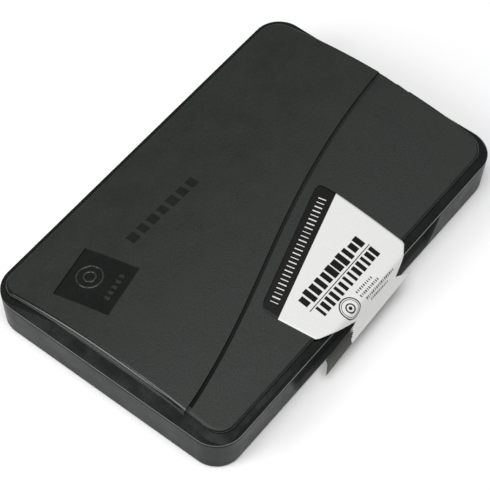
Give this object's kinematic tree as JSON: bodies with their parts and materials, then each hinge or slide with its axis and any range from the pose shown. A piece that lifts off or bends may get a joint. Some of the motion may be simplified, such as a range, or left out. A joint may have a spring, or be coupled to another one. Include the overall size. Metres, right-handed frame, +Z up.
{
  "type": "hinged desk ink pad",
  "caption": "Shallow moulded case with a crowned hinged lid, thumb scoop and paper label over a cloth-covered felt ink pad.",
  "frame": {"origin": "centre of the flat face the case rests on", "axes": "+X along the long side, -Y towards the front with the thumb scoop, +Y towards the hinge, +Z up"},
  "size_m": [0.13, 0.0874, 0.0193],
  "materials": {
    "case_plastic": "fine spark-eroded texture, polished edges",
    "frame_plastic": "satin",
    "board": "pressed board",
    "felt": "wool felt soaked with ink",
    "inked_cloth": "plain weave soaked with ink",
    "pin_steel": "drawn wire",
    "label_paper": "coated white paper with a black band"
  },
  "bodies": {
    "base": {"base_tray": "case_plastic", "backing_board": "board", "reservoir_felt": "felt", "surface_felt": "felt", "pad_cloth": "inked_cloth", "retaining_frame": "frame_plastic", "hinge_pin_left": "pin_steel", "hinge_pin_right": "pin_steel"},
    "lid": {"lid": "case_plastic", "label": "label_paper"}
  },
  "joints": [
    {"name": "lid_hinge", "type": "hinge", "parent": "base", "child": "lid", "pos_m": [0, 0.04035, 0.0106], "axis": [-1, 0, 0], "range_deg": [0, 125]}
  ]
}
